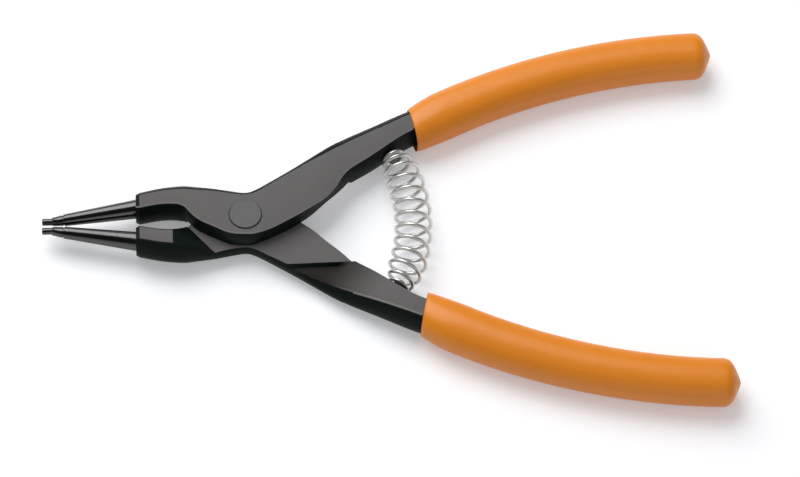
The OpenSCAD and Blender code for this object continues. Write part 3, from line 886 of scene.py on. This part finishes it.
def floor():
    """A wide pale floor that the grips rest on. To the camera and in reflections it is white, and
    the object's shadow shows on it."""
    m = Finish("floor_white", (0.9, 0.91, 0.93), Roughness=0.9, Emission_Color=(0.97, 0.98, 1.0, 1))
    m.feed("Emission Strength", math_node(m.tree, "MULTIPLY", seen_rays(m.tree), FLOOR_GLOW))
    s = 2.5
    corners = np.array([[-s, -s, FLOOR_Z], [s, -s, FLOOR_Z], [s, s, FLOOR_Z], [-s, s, FLOOR_Z]])
    new_object("floor", corners, [[0, 1, 2, 3]], m.material)


def lamp(name, place, size, power):
    """A square soft box at a place, turned to LAMP_AIM."""
    light = bpy.data.lights.new(name, "AREA")
    light.shape = "SQUARE"
    light.size = size
    light.energy = power
    obj = bpy.data.objects.new(name, light)
    obj.location = place
    obj.rotation_euler = (Vector(LAMP_AIM) - Vector(place)).to_track_quat("-Z", "Y").to_euler()
    bpy.context.scene.collection.objects.link(obj)


def world():
    """Even studio light from above, and a pale backdrop round the floor.

    The light is dark at the horizon and rises towards overhead. What the camera and reflections
    see is the backdrop: pale at the horizon, and dark above it.
    """
    w = bpy.data.worlds.new("studio")
    bpy.context.scene.world = w
    w.use_nodes = True
    tree = w.node_tree
    place = tree.nodes.new("ShaderNodeTexCoord")
    split = tree.nodes.new("ShaderNodeSeparateXYZ")
    tree.links.new(place.outputs["Generated"], split.inputs["Vector"])

    def by_height(low, high):
        node = tree.nodes.new("ShaderNodeValToRGB")
        for element, (height, colour) in zip(node.color_ramp.elements, (low, high)):
            element.position = height
            element.color = (*colour, 1)
        tree.links.new(split.outputs["Z"], node.inputs["Fac"])
        return node.outputs["Color"]

    light = by_height((0.1, (0.025, 0.025, 0.026)), (0.8, (0.36, 0.36, 0.366)))
    backdrop = by_height((0.25, (0.80, 0.81, 0.83)), (0.45, (0.05, 0.05, 0.052)))
    back = tree.nodes["Background"]
    tree.links.new(mix_colours(tree, seen_rays(tree), light, backdrop), back.inputs["Color"])
    back.inputs["Strength"].default_value = 1.0


def camera():
    """The photograph's camera: 60 degrees above the floor, nearly square to X, rolled a little.

    Its distance and its shift to the side and up are from the middle of the joint.
    """
    elevation, azimuth, roll = (math.radians(v) for v in (60.0, -5.961, 4.192))
    distance, shift_x, shift_y = 1015.0, -39.588, 3.846
    back = np.array([math.sin(azimuth) * math.cos(elevation), -math.cos(azimuth) * math.cos(elevation),
                     math.sin(elevation)])
    right = np.array([math.cos(azimuth), math.sin(azimuth), 0])
    up = np.cross(back, right)
    turned_right = math.cos(roll) * right + math.sin(roll) * up
    turned_up = -math.sin(roll) * right + math.cos(roll) * up
    axes = np.array([turned_right, turned_up, back])
    place = (-axes.T @ np.array([shift_x, shift_y, -distance]) + [0, 0, HALF_T]) * MM
    data = bpy.data.cameras.new("camera")
    data.sensor_fit = "HORIZONTAL"
    data.sensor_width = 36.0
    data.lens = 178.6
    data.clip_start = 0.05
    data.clip_end = 20
    obj = bpy.data.objects.new("camera", data)
    matrix = np.eye(4)
    matrix[:3, :3] = axes.T
    matrix[:3, 3] = place
    obj.matrix_world = Matrix(matrix.tolist())
    bpy.context.scene.collection.objects.link(obj)
    bpy.context.scene.camera = obj


steel = forged_steel()
polished = nose_steel()
satin = rivet_steel()
zinc = spring_wire()
orange = grip_plastic()
sides = (("upper", UPPER), ("lower", LOWER))
for side, body in sides:
    half(f"{side}_half_forging", body, f"{side}_half", steel)
for side, body in sides:
    nose(f"{side}_nose_turned", body, f"{side}_nose", polished)
    peg(f"{side}_peg_turned", body, f"{side}_spring_peg", satin)
    grip(f"{side}_grip_sleeve", body, f"{side}_grip", orange)
rivet("pivot_rivet_turned", LOWER, "pivot_rivet", satin)
spring("return_spring_wire", "return_spring", zinc)

floor()
world()
lamp("key_softbox", (-0.35, 0.62, 0.95), size=1.0, power=12.5)
lamp("front_fill", (0.3, -1.1, 0.5), size=0.8, power=1.6)
camera()
bpy.context.scene.view_settings.view_transform = "Standard"
